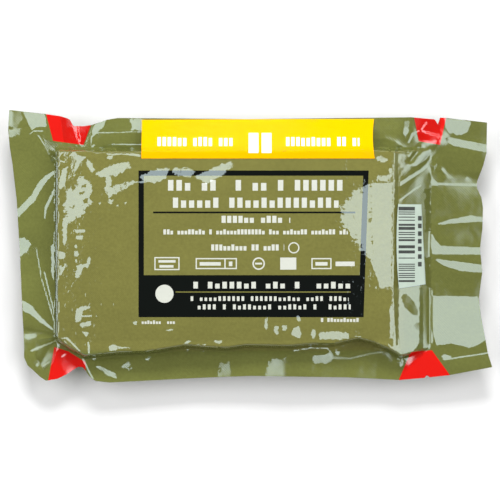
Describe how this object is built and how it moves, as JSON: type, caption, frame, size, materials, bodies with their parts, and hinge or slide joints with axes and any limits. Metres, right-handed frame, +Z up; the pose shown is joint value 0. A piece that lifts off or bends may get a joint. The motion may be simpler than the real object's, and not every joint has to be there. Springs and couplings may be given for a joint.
{
  "type": "vacuum-packed trauma bandage",
  "caption": "Flat vacuum-packed trauma bandage: folded elastic wrap and pad sealed between olive film webs, with wrinkled margins, tear notches and stuck-on labels.",
  "frame": {"origin": "on the pack's flat back, straight under the middle of the dressing", "axes": "+X along the pack's long side to its wide end fin, +Y across it to the flange with the band label, +Z up out of the printed face"},
  "size_m": [0.1901, 0.1071, 0.0206],
  "materials": {
    "olive_film": "glossy, finely crumpled olive vacuum film with black and white print",
    "elastic_gauze": "matt woven elastic",
    "pad_cotton": "soft matt cotton",
    "yellow_label": "satin yellow label",
    "white_label": "satin white label"
  },
  "bodies": {
    "root": {"front_film": "olive_film", "back_film": "olive_film", "elastic_wrap": "elastic_gauze", "absorbent_pad": "pad_cotton", "band_label": "yellow_label", "code_label": "white_label"}
  },
  "joints": []
}
